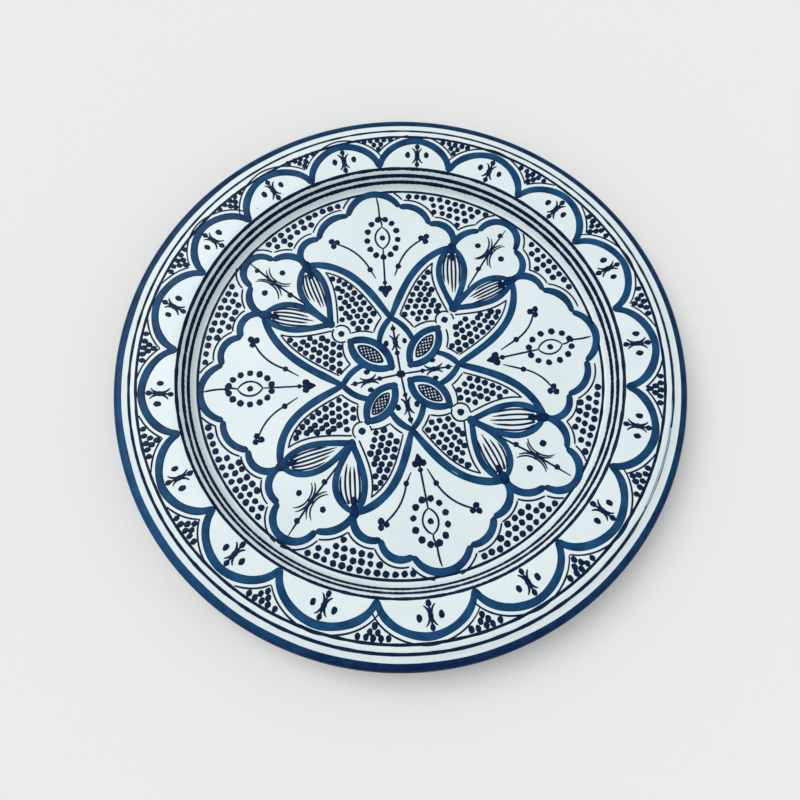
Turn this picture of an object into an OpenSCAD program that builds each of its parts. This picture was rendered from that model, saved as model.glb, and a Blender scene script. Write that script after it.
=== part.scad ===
// Hand painted ceramic plate: a thrown clay body with a turned foot ring, a white glaze on the front
// and on the back, and the blue and white painting on top of the front glaze.
// Origin: centre of the foot ring's resting face, +Z up. Angles run anticlockwise from +X.

/* [Plate] */
// Outer diameter over the rounded lip
plate_d = 360; // [350:5:440]
// Diameter of the well's flat floor
well_d = 260; // [215:5:262]
// Height of the rim's flat above the well's floor
well_depth = 12.8; // [10:0.2:16]
// Distance over which the wall climbs from the floor to the rim
wall_run = 10.5; // [9:0.5:14]
// Thickness of the floor
floor_t = 8; // [6:0.5:10]
// Thickness of the rim
rim_t = 9.6; // [9:0.2:12]

/* [Lip] */
// Radius of the rounded lip
lip_r = 4.2; // [3.4:0.1:4.4]
// How far the lip's top sits below the rim's flat
lip_drop = 3.6; // [2:0.1:4.4]
// Distance over which the rim falls to the lip
lip_run = 10.4; // [8:0.2:12]

/* [Foot ring] */
// Outer diameter of the foot ring
foot_d = 190; // [158:2:228]
// Width of the foot ring's resting face
foot_w = 8; // [6:0.5:12]
// Height of the foot ring
foot_h = 7; // [5:0.5:10]
// Taper of the foot ring's two sides
foot_taper = 1.5; // [0.5:0.5:2]
// Bare clay above the resting face, where the glaze was wiped off
foot_bare = 2; // [1:0.5:3]

/* [Glaze and paint] */
// Thickness of the glaze
glaze_t = 0.4; // [0.3:0.05:0.6]
// Thickness of a layer of paint
paint_t = 0.2; // [0.1:0.05:0.3]

/* [Brush strokes] */
// Width of the thick strokes round the cartouches and along the blades
thick_w = 4.9; // [4:0.1:5.4]
// Width of the strokes round the leaves
leaf_w = 4.1; // [3.4:0.1:4.6]
// Width of the strokes round the scallops
scallop_w = 4.7; // [3.9:0.1:5.1]
// Width of the thin lines
thin_w = 1.2; // [0.9:0.05:1.4]
// Width of the lines of the nets in the centre
net_w = 1; // [0.8:0.05:1.2]
// Diameter of a painted dot
dot_d = 4.3; // [3.5:0.1:4.5]
// Distance between the dots of a filled field
dot_pitch = 5.2; // [5:0.1:6.4]
// White left between a thick stroke and the thin line beside it
white_gap = 1.7; // [1.3:0.1:2.2]

/* [Hidden] */
$fn = 96;

// Heights
floor_z = foot_h + floor_t;
rim_z = floor_z + well_depth;
lip_cz = rim_z - lip_drop - lip_r;

// Radii
plate_r = plate_d / 2;
well_r = well_d / 2;
rim_in_r = well_r + wall_run;
lip_cr = plate_r - lip_r;
rim_flat_r = lip_cr - lip_run;
foot_r = foot_d / 2;

// Painted rings: middle radius and width of each
floor_ring_r = well_r - 0.7;
floor_ring_w = 2;
inner_line_r = rim_in_r - 1.2;
inner_line_w = 1.8;
outer_line_r = rim_flat_r - 1.4;
outer_line_w = 1.9;
pinstripe_r = rim_flat_r + 3.6;
pinstripe_w = 2.1;
lower_line_r = well_r + 0.38 * wall_run;
upper_line_r = well_r + 0.6 * wall_run;
wall_line_w = 1.6;
sliver = 0.03;
lip_band_r = lip_cr - 1.4;

// Colours
cobalt = [0.08, 0.27, 0.47];
navy = [0.07, 0.14, 0.29];
milk = [0.88, 0.91, 0.90];
clay = [0.74, 0.62, 0.50];

// ---- Curves -----------------------------------------------------------------------------------

function ease(t) = t * t * (3 - 2 * t);
function flat(lists) = [for (part = lists) each part];
function turn(p, a) = [p.x * cos(a) - p.y * sin(a), p.x * sin(a) + p.y * cos(a)];
function unit(v) = v / norm(v);
function right_of(d) = [d.y, -d.x];
function bearing(p, q) = atan2(q.y - p.y, q.x - p.x);

// A circular arc from p to q. bulge is its height over its chord; a positive one lies to the right.
function arc(p, q, bulge, n = 9) = let(
    chord = norm(q - p),
    along = (q - p) / chord,
    side = right_of(along) * sign(bulge),
    rise = abs(bulge) * chord,
    radius = (chord * chord / 4 + rise * rise) / (2 * rise),
    middle = (p + q) / 2 - side * (radius - rise),
    half = 2 * atan(2 * abs(bulge)))
  [for (i = [0:n]) let(a = half * (2 * i / n - 1)) middle + radius * (side * cos(a) + along * sin(a))];

function line(p, q) = [p, q];

// Like arc, but fullest nearer to p, as the sides of a leaf are; lean is 1 when it is even
function bow(p, q, bulge, lean, n = 10) = let(chord = norm(q - p), side = right_of((q - p) / chord))
  [for (i = [0:n]) p + (q - p) * i / n + side * bulge * chord * sin(180 * pow(i / n, lean))];

// The outline of a brush stroke along a path; tip is the share of the width left at both ends.
function stroke_outline(path, w, tip) = let(
    n = len(path) - 1,
    half = [for (i = [0:n]) w / 2 * (tip + (1 - tip) * sqrt(max(0, sin(180 * i / n))))],
    out = [for (i = [0:n]) right_of(unit(path[min(i + 1, n)] - path[max(i - 1, 0)]))])
  concat([for (i = [0:n]) path[i] + out[i] * half[i]], [for (i = [n:-1:0]) path[i] - out[i] * half[i]]);

// A row of arcs through the points, one bulge for each arc
function lobes(points, bulges) = flat([for (i = [0:len(bulges) - 1])
    arc(points[i], points[i + 1], bulges[i])]);

function crosses(p, a, b) = (a.y > p.y) != (b.y > p.y) &&
    p.x < a.x + (b.x - a.x) * (p.y - a.y) / (b.y - a.y);
function inside(p, loop) = let(n = len(loop))
  len([for (i = [0:n - 1]) if (crosses(p, loop[i], loop[(i + 1) % n])) i]) % 2 == 1;
function off_line(p, a, b) = let(ab = b - a, t = (p - a) * ab / max(ab * ab, 1e-9))
  norm(p - a - ab * min(1, max(0, t)));
function off_loop(p, loop) = let(n = len(loop))
  min([for (i = [0:n - 1]) off_line(p, loop[i], loop[(i + 1) % n])]);

// ---- The plate's section ----------------------------------------------------------------------

// Front surface from the centre out to the bottom of the lip, as [radius, height]
front_curve = concat(
  [[0, floor_z]],
  [for (i = [0:12]) [well_r + wall_run * i / 12, floor_z + well_depth * ease(i / 12)]],
  [for (i = [0:6]) [rim_flat_r + lip_run * i / 6, rim_z - lip_drop * ease(i / 6)]],
  [for (a = [75:-15:-90]) [lip_cr + lip_r * cos(a), lip_cz + lip_r * sin(a)]]);

// Back surface from the bottom of the lip in to the foot ring's outer corner
back_curve = concat(
  [[lip_cr, lip_cz - lip_r], [rim_in_r + 14, rim_z - rim_t]],
  [for (i = [8:-1:0]) [well_r - 2 + (wall_run + 6) * i / 8,
    floor_z - floor_t + 2 + (rim_z - rim_t - floor_z + floor_t - 2) * ease(i / 8)]],
  [[foot_r + foot_taper + 4, foot_h], [foot_r + foot_taper, foot_h - 1.5]]);

// Recess under the floor, from the foot ring's inner side to the centre
recess_curve = [[foot_r - foot_w - foot_taper, foot_h - 1.5], [foot_r - foot_w - foot_taper - 4, foot_h],
  [0, foot_h]];

function left_of(v) = [-v.y, v.x];
function shifted(curve, d) = let(n = len(curve) - 1)
  [for (i = [0:n]) curve[i] + d * left_of(unit(curve[min(i + 1, n)] - curve[max(i - 1, 0)]))];
function reversed(list) = [for (i = [len(list) - 1:-1:0]) list[i]];

// A skin of the given thickness under a curve whose solid side is to its right
module skin(curve, t) {
  rotate_extrude() polygon(concat(curve, reversed(shifted(curve, -t))));
}

foot_outer = [[foot_r + foot_taper * foot_bare / foot_h, foot_bare], [foot_r, 0]];
foot_inner = [[foot_r - foot_w, 0], [foot_r - foot_w - foot_taper * foot_bare / foot_h, foot_bare]];

// The glazed outside in one line, from the front's centre round the lip to the foot ring, and the clay
// under it. The front and the back glaze part at the seam, where they share both points.
outside_curve = concat(front_curve, [for (i = [1:len(back_curve) - 1]) back_curve[i]], [foot_outer[0]]);
under_glaze = shifted(outside_curve, -glaze_t);
lip_seam = len(front_curve) - 1;

module outside_glaze(from, to) {
  rotate_extrude() polygon(concat([for (i = [from:to]) outside_curve[i]],
    [for (i = [to:-1:from]) under_glaze[i]]));
}

module clay_body() {
  color(clay) rotate_extrude() polygon(concat(under_glaze, foot_outer, foot_inner,
    shifted(concat([foot_inner[1]], recess_curve), -glaze_t)));
}

module front_glaze() {
  color(milk) outside_glaze(0, lip_seam);
}

module back_glaze() {
  color(milk) outside_glaze(lip_seam, len(outside_curve) - 1);
}

module foot_recess_glaze() {
  color(milk) skin(concat([foot_inner[1]], recess_curve), glaze_t);
}

// ---- Painted rings ----------------------------------------------------------------------------

function front_height(r) = lookup(r, [for (p = front_curve) if (p.x <= lip_cr) p]);

module painted_ring(r, w) {
  across = concat([r - w / 2], [for (p = front_curve) if (abs(p.x - r) < w / 2) p.x], [r + w / 2]);
  under = [for (x = across) [x, front_height(x)]];
  over = [for (p = under) [p.x, p.y + paint_t]];
  rotate_extrude() polygon(concat(under, reversed(over)));
}

module rim_pinstripe() {
  color(navy) painted_ring(pinstripe_r, pinstripe_w);
}

module rim_outer_line() {
  color(navy) painted_ring(outer_line_r, outer_line_w);
}

module rim_inner_line() {
  color(navy) painted_ring(inner_line_r, inner_line_w);
}

module upper_wall_line() {
  color(navy) painted_ring(upper_line_r, wall_line_w);
}

module lower_wall_line() {
  color(navy) painted_ring(lower_line_r, wall_line_w);
}

module floor_ring_line() {
  color(navy) painted_ring(floor_ring_r, floor_ring_w);
}

// The wide band runs from the top of the lip round its outer side
lip_band_curve = concat([[lip_band_r, front_height(lip_band_r)]],
  [for (p = front_curve) if (p.x > lip_band_r && (p.y > lip_cz - 0.9 * lip_r)) p]);

module lip_band() {
  color(cobalt) rotate_extrude()
    polygon(concat(lip_band_curve, reversed(shifted(lip_band_curve, paint_t))));
}

// ---- Brush marks ------------------------------------------------------------------------------

module brush(path, w, tip = 0.5) {
  polygon(stroke_outline(path, w, tip));
}

module dot(p, d = dot_d) {
  translate(p) circle(d = d, $fn = 12);
}

// Joins overlapping marks into one outline without slivers or slits, and gives them the paint's thickness
module laid_on(z) {
  translate([0, 0, z]) linear_extrude(paint_t)
    offset(delta = -sliver) offset(delta = 2 * sliver) offset(delta = -sliver) children();
}

// A knot with a pair of curved strokes on each side, crossing a stem from -reach to reach along X
module spray(reach, high, wide, strokes = 1) {
  for (side = [-1, 1], k = [0:strokes - 1]) {
    out = side * (wide + 2.2 * k);
    near = side * (0.6 * thin_w + 1.3 * k);
    brush(concat(arc([-high, out], [0, near], side * 0.14, 4), arc([0, near], [high, out], side * 0.14, 4)),
      thin_w, 0.4);
  }
  brush(line([-reach, 0], [reach, 0]), thin_w, 0.9);
  scale([1.5, 1]) circle(d = 0.7 * dot_d, $fn = 12);
}

// ---- Rim --------------------------------------------------------------------------------------

// The painter's own spacing of the scallops' feet round the rim
scallop_feet = [15, 36, 56, 76, 95, 114, 134, 153, 175, 197, 218, 240, 264, 287, 310, 333, 354];
scallops = len(scallop_feet);
scallop_foot_r = inner_line_r + inner_line_w / 2;
scallop_top_r = outer_line_r - outer_line_w / 2 - scallop_w / 2 - 0.1;
rim_dot_d = 0.75 * dot_d;

function foot_angle(i) = scallop_feet[i % scallops] + (i >= scallops ? 360 : 0);
function scallop_middle(i) = (foot_angle(i) + foot_angle(i + 1)) / 2;
function scallop_path(i) = let(
    half = (foot_angle(i + 1) - foot_angle(i)) / 2,
    base = scallop_foot_r * cos(half),
    wide = scallop_foot_r * sin(half))
  [for (t = [0:15:180]) turn([base + (scallop_top_r - base) * sin(t),
    -wide * sign(cos(t)) * pow(abs(cos(t)), 1.12)], scallop_middle(i))];

module scallops_2d() {
  for (i = [0:scallops - 1]) brush(scallop_path(i), scallop_w, 0.9);
}

module scallop_band_2d(clearance) {
  difference() {
    circle(r = outer_line_r - outer_line_w / 2 - clearance);
    // Drawn round its flats, so that nothing crosses the inner line
    circle(r = (inner_line_r + inner_line_w / 2 + clearance) / cos(180 / $fn));
  }
}

module rim_scallops() {
  color(cobalt) laid_on(rim_z) intersection() {
    scallops_2d();
    scallop_band_2d(0);
  }
}

// Where the painter set the spray under each scallop, and how far it leans
spray_angles = [25.5, 45.9, 65.8, 85, 104.1, 124, 144.2, 164, 186.2, 207.3, 229.3, 252.5, 276.1, 298.9,
  322.6, 344.6, 365.1];
spray_leans = [0, 0, 0, 3, -4, 0, 3, -12, -10, -3, 0, -5, 4, 2, 0, 4, 0];

// A touch of the brush, longer along X
module long_dot(p, d) {
  translate(p) scale([1.2, 0.85]) circle(d = d, $fn = 16);
}

module rim_sprays() {
  color(navy) laid_on(rim_z) difference() {
    for (i = [0:scallops - 1])
      rotate(spray_angles[i]) translate([(scallop_foot_r + scallop_top_r) / 2 - scallop_w / 4, 0])
        rotate(spray_leans[i]) {
          reach = (scallop_top_r - scallop_foot_r) / 2 - scallop_w / 4 - 0.3;
          spray(reach, 0.66 * reach, 3.6);
          for (side = [-1, 1]) {
            long_dot([side * 0.76 * reach, 0], 0.8 * dot_d);
            long_dot([0.5, side * 6.5], 0.92 * dot_d);
          }
        }
    offset(delta = sliver) scallops_2d();
  }
}

module rim_spandrels_2d(clearance) {
  difference() {
    scallop_band_2d(-clearance);
    offset(delta = scallop_w / 2 + white_gap) for (i = [0:scallops - 1]) polygon(scallop_path(i));
  }
}

module rim_spandrel_outlines() {
  color(navy) laid_on(rim_z) intersection() {
    scallop_band_2d(0);
    difference() {
      rim_spandrels_2d(2);
      offset(delta = -thin_w) rim_spandrels_2d(2);
      offset(delta = sliver) rim_spandrel_dots_2d();
    }
  }
}

// Three rows of dots in each spandrel, spaced by the depth of the band that the spandrels lie in
module rim_spandrel_dots_2d() {
  edge = outer_line_r - outer_line_w / 2;
  top = edge - rim_dot_d / 2 - 0.2;
  row_pitch = 0.149 * (edge - scallop_foot_r);
  side_pitch = 0.212 * (edge - scallop_foot_r);
  for (i = [0:scallops - 1], row = [0:2], k = [0:2 - row])
    rotate(foot_angle(i)) translate([top - row * row_pitch, (k - (2 - row) / 2) * side_pitch])
      circle(d = rim_dot_d);
}

module rim_spandrel_dots() {
  color(navy) translate([0, 0, rim_z]) linear_extrude(paint_t) rim_spandrel_dots_2d();
}

// ---- Layout of the floor ----------------------------------------------------------------------
// The painting was laid out by eye on a floor 260 mm across, and scales with the floor. Cardinals are
// right, top, left, bottom. Quadrants and the nodes between them run anticlockwise from right to top.

layout = well_d / 260;

nodes = layout * [[74, 62.5], [35.5, 87], [-61.5, 74.5], [-88.5, 40], [-74, -60], [-28.5, -89],
  [63.5, -69.5], [90, -30.5]];
junctions = layout * [[37.5, 5], [-5.8, 37], [-36.5, -8.5], [7, -37.5]];
leaf_tips = layout * [[35.5, 43.5], [-45, 33], [-30.5, -46], [44.5, -32]];
discs = layout * [[29.3, 35.4], [-37.9, 26.3], [-24.2, -38.3], [37.9, -26.7]];
eye_inner = layout * [[7, 5], [-5.5, 3.5], [-4, -9], [6.5, -5.5]];
eye_outer = layout * [[24.5, 29.5], [-32, 21], [-20.5, -32], [31, -22]];
ogive_ends = layout * [[[22.4, 13.2], [24.8, -8.2]], [[-13.4, 18.8], [8.5, 21.3]],
  [[-19.4, -17.7], [-23.2, 5.1]], [[14.6, -20.4], [-6.2, -25.6]]];
centre = layout * [0.4, -1.3];
disc_r = 5.3 * layout;
leaf_lean = 0.75;
blade_lean = 0.78;

large_cusps = layout * [
  [[106.5, -15.6], [119.4, 6.4], [112.8, 39.8], [94.4, 55.3]],
  [[20.5, 104.2], [0.5, 117.5], [-34.2, 110.9], [-53.7, 93.7]],
  [[-102.5, 24.5], [-113.7, 6], [-111.4, -30.5], [-94.8, -49.4]],
  [[-12.6, -105], [6.7, -115], [41.1, -108.9], [55.6, -92.2]]];
large_bulges = [[0.32, 0.22, 0.32, 0.2, 0.3], [0.33, 0.22, 0.37, 0.22, 0.4],
  [0.36, 0.3, 0.4, 0.22, 0.34], [0.32, 0.3, 0.36, 0.22, 0.27]];
small_cusps = layout * [[[77.2, 84.2], [54.4, 98.7]], [[-84.2, 78.7], [-97.6, 60.3]],
  [[-75, -82.5], [-52, -99.4]], [[87.8, -73.9], [102.8, -50.6]]];
small_bulges = [[0.31, 0.53, 0.17], [0.22, 0.57, 0.23], [0.31, 0.53, 0.18], [0.25, 0.54, 0.24]];
leaf_bulges = [[0.19, 0.16], [0.21, 0.18], [0.23, 0.14], [0.17, 0.22], [0.22, 0.15], [0.16, 0.26],
  [0.26, 0.17], [0.2, 0.24]];
blade_bulges = [0.175, 0.135, 0.155, 0.12, 0.188, 0.16, 0.16, 0.138];

function quadrant(j) = floor(j / 2);
function cardinal(j) = floor((j + 1) / 2) % 4;
function hand(j) = j % 2 == 0 ? -1 : 1;

function large_path(i) = lobes(concat([nodes[(2 * i + 7) % 8]], large_cusps[i], [nodes[2 * i]]),
  large_bulges[i]);
function small_path(i) = lobes(concat([nodes[2 * i]], small_cusps[i], [nodes[2 * i + 1]]), small_bulges[i]);
function blade_path(j) = bow(nodes[j], junctions[cardinal(j)], hand(j) * blade_bulges[j], blade_lean, 12);
function leaf_side(j, side) = bow(nodes[j], leaf_tips[quadrant(j)], (1 - 2 * side) * leaf_bulges[j][side],
  leaf_lean);
function ogive_end(j) = ogive_ends[cardinal(j)][j % 2];
function ogive_path(j) = arc(junctions[cardinal(j)], ogive_end(j), hand(j) * -0.1, 6);

function field_loop(j) = concat(
  blade_path(j),
  ogive_path(j),
  arc(ogive_end(j), eye_outer[quadrant(j)], hand(j) * -0.18, 6),
  reversed(leaf_side(j, (1 - hand(j)) / 2)));

// ---- Thick strokes, in the order in which they were laid --------------------------------------

module lobed_strokes(points, bulges) {
  for (i = [0:len(bulges) - 1]) brush(arc(points[i], points[i + 1], bulges[i]), thick_w, 0.85);
  for (i = [1:len(bulges) - 1]) dot(points[i], 0.85 * thick_w);
}

module node_blots_2d() {
  for (j = [0:7]) translate(nodes[j]) rotate(bearing(nodes[j], leaf_tips[quadrant(j)]))
    translate([1.2, 0]) scale([1.4, 1]) circle(d = 1.6 * thick_w, $fn = 20);
}

module blades_2d() {
  for (j = [0:7]) brush(blade_path(j), thick_w, 0.75);
}

module large_cartouches_2d() {
  for (i = [0:3]) lobed_strokes(concat([nodes[(2 * i + 7) % 8]], large_cusps[i], [nodes[2 * i]]),
    large_bulges[i]);
}

module small_cartouches_2d() {
  for (i = [0:3]) lobed_strokes(concat([nodes[2 * i]], small_cusps[i], [nodes[2 * i + 1]]), small_bulges[i]);
}

module leaf_outlines_2d() {
  for (j = [0:7], side = [0, 1])
    brush(leaf_side(j, side), leaf_w, 0.9);
  for (tip = leaf_tips) dot(tip, 1.5 * leaf_w);
}

module eye_petals_2d() {
  for (i = [0:3], side = [-1, 1]) brush(arc(eye_inner[i], eye_outer[i], 0.25 * side), thick_w, 0.9);
  for (tip = concat(eye_inner, eye_outer)) dot(tip, thick_w);
}

module centre_ogives_2d() {
  for (j = [0:7]) brush(ogive_path(j), 0.85 * thick_w, 0.8);
}

// The first n layers of thick strokes on the floor, which later ones stop at
module laid_before(n) {
  difference() {
    circle(r = floor_ring_r + 5);
    circle(r = floor_ring_r - floor_ring_w / 2);
  }
  if (n > 0) node_blots_2d();
  if (n > 1) blades_2d();
  if (n > 2) large_cartouches_2d();
  if (n > 3) small_cartouches_2d();
  if (n > 4) leaf_outlines_2d();
  if (n > 5) eye_petals_2d();
  if (n > 6) centre_ogives_2d();
}

module floor_paint(n, tint) {
  color(tint) laid_on(floor_z) difference() {
    children();
    laid_before(n);
  }
}

module node_blots() {
  floor_paint(0, cobalt) node_blots_2d();
}

module blade_strokes() {
  floor_paint(1, cobalt) blades_2d();
}

module large_cartouches() {
  floor_paint(2, cobalt) large_cartouches_2d();
}

module small_cartouches() {
  floor_paint(3, cobalt) small_cartouches_2d();
}

module leaf_outlines() {
  floor_paint(4, cobalt) leaf_outlines_2d();
}

module eye_petals() {
  floor_paint(5, cobalt) eye_petals_2d();
}

module centre_ogives() {
  floor_paint(6, cobalt) centre_ogives_2d();
}

// ---- Leaves, eyes and centre ------------------------------------------------------------------

veins = 5;

function part_of(path, from, to) = [for (i = [0:len(path) - 1])
  if (i >= from * (len(path) - 1) && i <= to * (len(path) - 1)) path[i]];

module leaf_veins() {
  floor_paint(7, navy) for (j = [0:7], k = [0:veins - 1]) {
    share = k / (veins - 1);
    bulge = (1 - share) * (leaf_bulges[j][0] - 0.085) - share * (leaf_bulges[j][1] - 0.085);
    path = bow(nodes[j], leaf_tips[quadrant(j)], bulge, leaf_lean, 15);
    brush(part_of(path, 0.12, 0.8 - 0.9 * abs(bulge)), 0.9 * thin_w, 0.4);
  }
}

module eye_nets() {
  floor_paint(7, navy) for (i = [0:3]) {
    near = eye_inner[i] + 0.2 * (eye_outer[i] - eye_inner[i]);
    far = eye_inner[i] + 0.82 * (eye_outer[i] - eye_inner[i]);
    for (side = [-1, 1]) brush(arc(near, far, 0.2 * side), 1.2 * net_w, 0.9);
    intersection() {
      polygon(concat(arc(near, far, 0.2), arc(far, near, 0.2)));
      translate((near + far) / 2) rotate(bearing(near, far))
        for (side = [-1, 1], k = [-3:3]) translate([k * 2.9 * layout, 0]) rotate(side * 42)
          square([14 * layout, net_w], center = true);
    }
  }
}

spray_ends = layout * [[30.8, 3.2], [-4.3, 29.6], [-28.8, -7.5], [6.3, -31.3]];

module centre_sprays() {
  floor_paint(7, navy) {
    dot(centre, 1.4 * dot_d);
    for (i = [0:3]) {
      knot = centre + 0.7 * (spray_ends[i] - centre);
      brush(line(centre, spray_ends[i] + 0.12 * (spray_ends[i] - centre)), thin_w, 0.9);
      dot(centre + 0.46 * (spray_ends[i] - centre), 0.75 * dot_d);
      dot(spray_ends[i], 0.75 * dot_d);
      translate(knot) rotate(bearing(centre, spray_ends[i])) {
        spray(6.5 * layout, 5.5 * layout, 3.4 * layout);
        for (side = [-1, 1]) long_dot([0, side * 6 * layout], 0.85 * dot_d);
      }
    }
  }
}

// ---- Dotted fields beside the blades ----------------------------------------------------------

field_gap = thick_w / 2 + white_gap;

module blade_field_2d(j) {
  difference() {
    offset(delta = -field_gap) polygon(field_loop(j));
    translate(discs[quadrant(j)]) circle(r = disc_r, $fn = 32);
  }
}

module blade_field_outlines() {
  floor_paint(7, navy) for (j = [0:7]) difference() {
    blade_field_2d(j);
    offset(delta = -thin_w) blade_field_2d(j);
  }
}

// Staggered dots in rows along each blade, kept where they clear the field's own outline
function field_dots(j) = let(
    loop = field_loop(j),
    middle = (nodes[j] + junctions[cardinal(j)] + leaf_tips[quadrant(j)]) / 3,
    a = bearing(nodes[j], junctions[cardinal(j)]))
  [for (row = [-8:8], k = [-9:9]) let(
      p = middle + turn([(k + (row % 2 == 0 ? 0 : 0.5)) * dot_pitch, row * 0.9 * dot_pitch], a))
    if (inside(p, loop) && off_loop(p, loop) > field_gap + thin_w + dot_d / 2
        && norm(p - discs[quadrant(j)]) > disc_r + thin_w + dot_d / 2) p];

module dot_field(points) {
  color(navy) translate([0, 0, floor_z]) linear_extrude(paint_t) for (p = points)
    translate(p) circle(d = dot_d);
}

module blade_field_dots() {
  dot_field(flat([for (j = [0:7]) field_dots(j)]));
}

module blade_disc_dots() {
  dot_field(discs);
}

// ---- Dotted spandrels between the cartouches and the floor ring -------------------------------

cartouche_loops = concat([for (i = [0:3]) large_path(i)], [for (i = [0:3]) small_path(i)]);

module floor_spandrels_2d(r) {
  difference() {
    circle(r = r);
    circle(r = 95 * layout);
    offset(delta = field_gap) for (loop = cartouche_loops) polygon(loop);
  }
}

module floor_spandrel_outlines() {
  floor_paint(7, navy) difference() {
    floor_spandrels_2d(floor_ring_r);
    offset(delta = -thin_w) floor_spandrels_2d(floor_ring_r + 5);
  }
}

function spandrel_clear(p) = min([for (loop = cartouche_loops)
  inside(p, loop) ? 0 : off_loop(p, loop)]) > field_gap + thin_w + dot_d / 2;

function spandrel_dots() = [for (row = [0:4], k = [0:149]) let(
      r = floor_ring_r - floor_ring_w / 2 - dot_d / 2 - 0.4 - row * 0.95 * dot_pitch,
      step = 360 / floor(2 * PI * r / (1.04 * dot_pitch)),
      a = (k + (row % 2) / 2) * step,
      p = [r * cos(a), r * sin(a)])
    if (k * step < 360 && spandrel_clear(p)) p];

module floor_spandrel_dots() {
  dot_field(spandrel_dots());
}

// ---- Medallions, sprigs and sprays in the cartouches ------------------------------------------

almonds = layout * [[97, 16], [-11, 94.5], [-95.5, -10], [17.5, -94.5]];
stem_ends = layout * [[124, 23], [-15.3, 125.5], [-125.5, -12], [24, -121.5]];
arrow_tips = layout * [[55.6, 7], [-8.9, 51.4], [-53.7, -8.3], [10, -52.8]];
stem_beads = layout * [[110.6, 20.9], [-13.1, 108.7], [-110.3, -10.2], [21.1, -108.3]];
medallion_counts = [12, 13, 14, 12];
almond_long = 8 * layout;
ring_long = 14 * layout;
ring_wide = 10.3 * layout;

module medallion_dots_2d() {
  for (i = [0:3]) translate(almonds[i]) rotate(bearing(arrow_tips[i], almonds[i]))
    for (k = [0:medallion_counts[i] - 1]) {
      a = 360 * (k + 0.5) / medallion_counts[i];
      dot([ring_long * cos(a), ring_wide * sin(a)], 0.9 * dot_d);
    }
  for (bead = stem_beads) dot(bead, 0.9 * dot_d);
}

// A spade with its point at the origin
module arrow_head() {
  polygon([[0, 0], [5.6, 4.4], [5.6, -4.4]]);
  for (side = [-1, 1]) dot([6, 2.2 * side], 4.8);
}

module almond_medallions() {
  floor_paint(7, navy) difference() {
    for (i = [0:3]) {
      inward = unit(arrow_tips[i] - almonds[i]);
      near = almonds[i] + inward * almond_long;
      far = almonds[i] - inward * almond_long;
      for (side = [-1, 1]) brush(arc(near, far, 0.3 * side), 1.1 * thin_w, 0.9);
      brush(arc(far, stem_beads[i], 0.1, 4), 1.1 * thin_w, 0.9);
      brush(arc(stem_beads[i], stem_ends[i], 0.04, 4), 1.1 * thin_w, 0.9);
      brush(line(near, arrow_tips[i] - inward * 7), 1.1 * thin_w, 0.9);
      dot(arrow_tips[i] - inward * 11.5, 0.75 * dot_d);
      translate(almonds[i]) rotate(45) square(0.8 * dot_d, center = true);
      translate(arrow_tips[i]) rotate(bearing(arrow_tips[i], almonds[i])) arrow_head();
    }
    medallion_dots_2d();
  }
}

module medallion_dots() {
  floor_paint(7, navy) medallion_dots_2d();
}

// Two sprigs in each large cartouche: the trefoil, the dot on the stem and the end of the tail
sprigs = layout * [
  [[97.2, -12.6], [78.9, 1.1], [65.8, 4.4]], [[87.6, 40.3], [75.3, 21.2], [65, 14.2]],
  [[17.2, 93.7], [-0.5, 73.7], [-3.1, 66.4]], [[-43.4, 90.7], [-19.2, 71.4], [-15.3, 64.8]],
  [[-94.8, 21.7], [-73.4, 2.9], [-64.8, -2]], [[-89.2, -42.8], [-73.1, -21.7], [-64.8, -15.9]],
  [[-11.4, -96.1], [3, -71.4], [6.1, -64.4]], [[45.3, -87.2], [21.4, -71.4], [15.9, -62.2]]];

module side_sprigs() {
  floor_paint(7, navy) for (s = [0:7]) {
    trefoil = sprigs[s][0];
    bead = sprigs[s][1];
    tail = sprigs[s][2];
    bend = s % 2 == 0 ? 0.11 : -0.11;
    brush(concat(arc(trefoil, bead, bend, 8), [tail]), thin_w, 0.6);
    dot(bead, 0.85 * dot_d);
    for (k = [0:2]) dot(trefoil + turn([2.1, 0], bearing(bead, trefoil) + 120 * k), 0.85 * dot_d);
  }
}

// The stem in each small cartouche, from the leaves' fork through its knot to the middle lobe
small_stems = layout * [
  [[45, 57.6], [60.6, 83.1], [72.2, 99.2]], [[-61.4, 47], [-83.1, 62.6], [-100.3, 77.6]],
  [[-39.2, -60], [-55.3, -81.7], [-69.2, -103.3]], [[60.6, -42.2], [83.9, -55], [104.4, -67.8]]];

module small_cartouche_sprays() {
  floor_paint(7, navy) for (stem = small_stems) {
    brush(stem, thin_w, 0.8);
    translate(stem[1]) rotate(bearing(stem[0], stem[2])) {
      spray(6 * layout, 10 * layout, 4 * layout, 2);
      for (side = [-1, 1]) {
        dot([14.3 * layout * side, 0], 0.9 * dot_d);
        dot([0, side * 9 * layout], dot_d);
      }
    }
  }
}

clay_body();
front_glaze();
back_glaze();
foot_recess_glaze();
lip_band();
rim_pinstripe();
rim_outer_line();
rim_inner_line();
upper_wall_line();
lower_wall_line();
floor_ring_line();
rim_scallops();
rim_sprays();
rim_spandrel_outlines();
rim_spandrel_dots();
node_blots();
blade_strokes();
large_cartouches();
small_cartouches();
leaf_outlines();
leaf_veins();
eye_petals();
eye_nets();
centre_ogives();
centre_sprays();
blade_field_outlines();
blade_field_dots();
blade_disc_dots();
floor_spandrel_outlines();
floor_spandrel_dots();
almond_medallions();
medallion_dots();
side_sprigs();
small_cartouche_sprays();
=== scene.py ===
"""Looks of a hand painted ceramic plate: its clay, its glazes and every brush stroke on it.

Lengths in the layout are millimetres, as the plate's maker would measure them; MM turns them into metres.
The painting is laid on the front surface stroke by stroke: the rings, the rim and then the floor.
"""
import math
import random

import bmesh
import bpy
from mathutils import Matrix, Vector


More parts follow.
